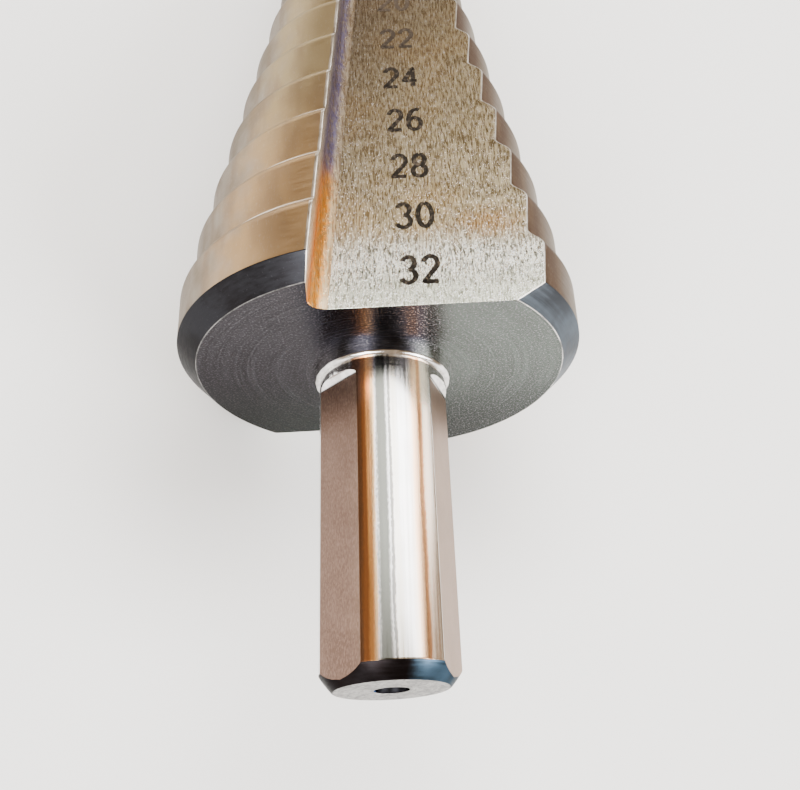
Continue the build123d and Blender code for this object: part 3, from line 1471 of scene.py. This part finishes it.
@dataclass
class SizeNumbers:
    """The step sizes etched on the upper flute's floor, one beside each step."""

    height: float = 2.65
    width: float = 1.27
    gap: float = 0.33
    stroke: float = 0.39
    lift: float = 0.012
    first: float = 1.95
    wide_pitch: float = 5.40
    wide: int = 6
    pitch: float = 4.6
    centre: float = 3.42
    drift: float = -0.2
    seed: int = 7
    segment: float = 0.12
    lift_play: float = 0.002
    edge_play: float = 0.16
    bow_parts: int = 18
    flute: Flute = field(default_factory=Flute)

    def bow(self, centre: Point, reach: Point, start: float, end: float) -> list[Point]:
        """Part of an oval.

        Args:
            centre: Middle of the oval.
            reach: Its half width and half height.
            start: Where the stroke starts, in degrees anticlockwise from the right.
            end: Where it ends.

        Returns:
            Points along the stroke.
        """
        return [
            (centre[0] + reach[0] * math.cos(angle), centre[1] + reach[1] * math.sin(angle))
            for angle in (math.radians(turn) for turn in spread(start, end, self.bow_parts))
        ]

    def strokes(self, digit: str) -> list[list[Point]]:
        """Find a digit's strokes in a box one wide and one high.

        Args:
            digit: The digit.

        Returns:
            Points of each stroke.
        """
        shapes = {
            "0": [self.bow((0.5, 0.5), (0.42, 0.46), 90, 450)],
            "1": [[(0.22, 0.76), (0.42, 0.84), (0.56, 0.96), (0.56, 0.04)]],
            "2": [self.bow((0.5, 0.70), (0.40, 0.26), 168, -28) + [(0.10, 0.05), (0.92, 0.05)]],
            "3": [
                self.bow((0.48, 0.735), (0.36, 0.225), 160, -90),
                self.bow((0.47, 0.275), (0.42, 0.235), 90, -160),
            ],
            "4": [[(0.70, 0.04), (0.70, 0.95), (0.06, 0.32), (0.96, 0.32)]],
            "6": [
                self.bow((0.5, 0.31), (0.40, 0.27), 180, 540),
                self.bow((0.62, 0.42), (0.52, 0.54), 68, 192),
            ],
            "8": [
                self.bow((0.5, 0.735), (0.34, 0.225), 90, 450),
                self.bow((0.5, 0.27), (0.42, 0.235), 90, 450),
            ],
        }
        return shapes[digit]

    def add_stroke(
        self, shell: Shell, line: list[Point], corner: Point, chance: np.random.Generator
    ) -> None:
        """Lay one stroke on the floor as a ribbon.

        Args:
            shell: The shell that is being built.
            line: The stroke in its digit's box.
            corner: Where the box's lower left corner is, across and along the floor.
            chance: Source of the etched edge's small wander.
        """
        path = [(corner[0] + x * self.width, corner[1] + y * self.height) for x, y in line]
        fine: list[Point] = []
        for first, last in zip(path, path[1:]):
            count = max(1, round(math.dist(first, last) / self.segment))
            fine += between(first, last, count)[:-1]
        fine.append(path[-1])
        lift = self.lift + self.lift_play * chance.random()
        previous: list[int] = []
        for index, (u, s) in enumerate(fine):
            before = fine[max(0, index - 1)]
            after = fine[min(len(fine) - 1, index + 1)]
            length = math.dist(before, after) or 1.0
            side = (-(after[1] - before[1]) / length, (after[0] - before[0]) / length)
            half = self.stroke / 2 * (1 + self.edge_play * (chance.random() - 0.5))
            pair = []
            for way in (half, -half):
                place = s + side[1] * way
                floor = self.flute.at(self.flute.floor_back, self.flute.floor_tip, place)
                shell.points.append((u + side[0] * way, floor + lift, place))
                pair.append(len(shell.points) - 1)
            if previous:
                # The numbers have one finish, in the first slot.
                shell.add_face((previous[0], previous[1], pair[1], pair[0]), Surface.LAND)
            previous = pair

    def build(self, place: DrillFrame, cone: SteppedCone) -> bpy.types.Object:
        """Etch every step's size.

        Args:
            place: The drill's frame.
            cone: The stepped cone that the sizes belong to.

        Returns:
            The piece that holds all the numbers.
        """
        chance = np.random.default_rng(self.seed)
        shell = Shell()
        drop = (cone.largest - cone.smallest) / (cone.steps - 1)
        for index in range(cone.steps):
            text = str(round(cone.largest - index * drop))
            base = self.first + self.wide_pitch * min(index, self.wide)
            base += self.pitch * max(index - self.wide, 0)
            middle = self.centre + self.drift * index
            left = middle - (len(text) * self.width + (len(text) - 1) * self.gap) / 2
            for digit in text:
                for line in self.strokes(digit):
                    self.add_stroke(shell, line, (left, base), chance)
                left += self.width + self.gap
        piece = shell.build("size_numbers", place, [NumberFinish().make()])
        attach(piece, "root")
        return piece


@dataclass(frozen=True)
class Lamp:
    """A soft rectangular lamp that looks at the drill."""

    name: str
    position: tuple[float, float, float]
    size: Point
    watts: float
    colour: Colour = (1.0, 1.0, 1.0)

    def hang(self, target: Vector) -> None:
        """Hang the lamp and turn it to the target.

        Args:
            target: What it looks at.
        """
        light = bpy.data.lights.new(self.name, "AREA")
        light.shape = "RECTANGLE"
        light.size, light.size_y = self.size
        light.energy = self.watts
        light.color = self.colour
        lamp = linked(self.name, light)
        lamp.location = self.position
        lamp.rotation_euler = (target - Vector(self.position)).to_track_quat("-Z", "Y").to_euler()


@dataclass
class Studio:
    """Pale floor, soft lamps and the camera."""

    floor_size: float = 6.0
    floor_colour: Colour = (0.92, 0.92, 0.91)
    floor_roughness: float = 0.8
    sky: Colour = (0.46, 0.34, 0.22)
    sky_strength: float = 1.0
    camera_mm: tuple[float, float, float] = (3.458, 66.945, -35.218)
    looks: tuple[float, float, float] = (0.03984, -0.88994, 0.45433)
    head: tuple[float, float, float] = (0.05242, 0.45593, 0.88847)
    lens: float = 42.213
    sensor: float = 36.0
    lit_place: float = 20.0
    shift: Point = (-0.0796, -0.0168)
    lamps: tuple[Lamp, ...] = (
        Lamp("high_soft_box", (0.04, 0.53, 0.80), (1.30, 0.50), 18.0),
        Lamp("right_strip_box", (1.10, 0.58, 0.63), (0.25, 0.40), 1.5),
        Lamp("left_soft_box", (-0.7, -0.75, 0.75), (0.7, 0.7), 26.0),
        Lamp("right_soft_box", (0.8, -0.6, 0.8), (0.7, 0.7), 26.0),
    )

    def lay_floor(self) -> None:
        """Lay the pale floor that the drill lies on."""
        half = self.floor_size / 2
        mesh = bpy.data.meshes.new("studio_floor")
        corners = [(-half, -half, 0), (half, -half, 0), (half, half, 0), (-half, half, 0)]
        mesh.from_pydata(corners, [], [(0, 1, 2, 3)])
        sheet = ShaderSheet.named("pale_floor")
        settings = {"Base Color": (*self.floor_colour, 1.0), "Roughness": self.floor_roughness}
        sheet.fill(sheet.shader, settings)
        mesh.materials.append(sheet.material)
        linked("studio_floor", mesh)

    def light(self, place: DrillFrame) -> None:
        """Hang the lamps over the drill and set the light that fills the room.

        Args:
            place: The drill's frame.
        """
        world = bpy.data.worlds.new("soft_room")
        world.use_nodes = True
        background = world.node_tree.nodes["Background"]
        background.inputs["Color"].default_value = (*self.sky, 1.0)
        background.inputs["Strength"].default_value = self.sky_strength
        bpy.context.scene.world = world
        for lamp in self.lamps:
            lamp.hang(place.point(0.0, 0.0, self.lit_place))

    def stand_camera(self, place: DrillFrame) -> None:
        """Stand the camera behind and above the shank, looking down at the flute.

        Args:
            place: The drill's frame.
        """
        data = bpy.data.cameras.new("camera")
        data.sensor_width = self.sensor
        data.lens = self.lens
        data.shift_x, data.shift_y = self.shift
        data.clip_start = MM
        camera = linked("camera", data)
        forward = place.direction(*self.looks).normalized()
        up = place.direction(*self.head)
        right = forward.cross(up).normalized()
        up = right.cross(forward)
        turn = Matrix((right, up, -forward)).transposed().to_4x4()
        camera.matrix_world = Matrix.Translation(place.point(*self.camera_mm)) @ turn
        bpy.context.scene.camera = camera


def main() -> None:
    """Build the studio and the drill in order, and log both pieces' face counts."""
    logging.basicConfig(level=logging.INFO, format="%(message)s")
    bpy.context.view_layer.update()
    shank = ChuckShank()
    place = DrillFrame.from_record(frame["record"], shank.length, shank.flat_phase)
    studio = Studio()
    studio.stand_camera(place)
    studio.lay_floor()
    studio.light(place)
    drill = DrillBody(shank=shank)
    body = drill.build(place)
    LOG.info("drill body: %d faces", len(body.data.polygons))
    numbers = SizeNumbers().build(place, drill.cone)
    LOG.info("size numbers: %d faces", len(numbers.data.polygons))


if __name__ == "__main__":
    main()
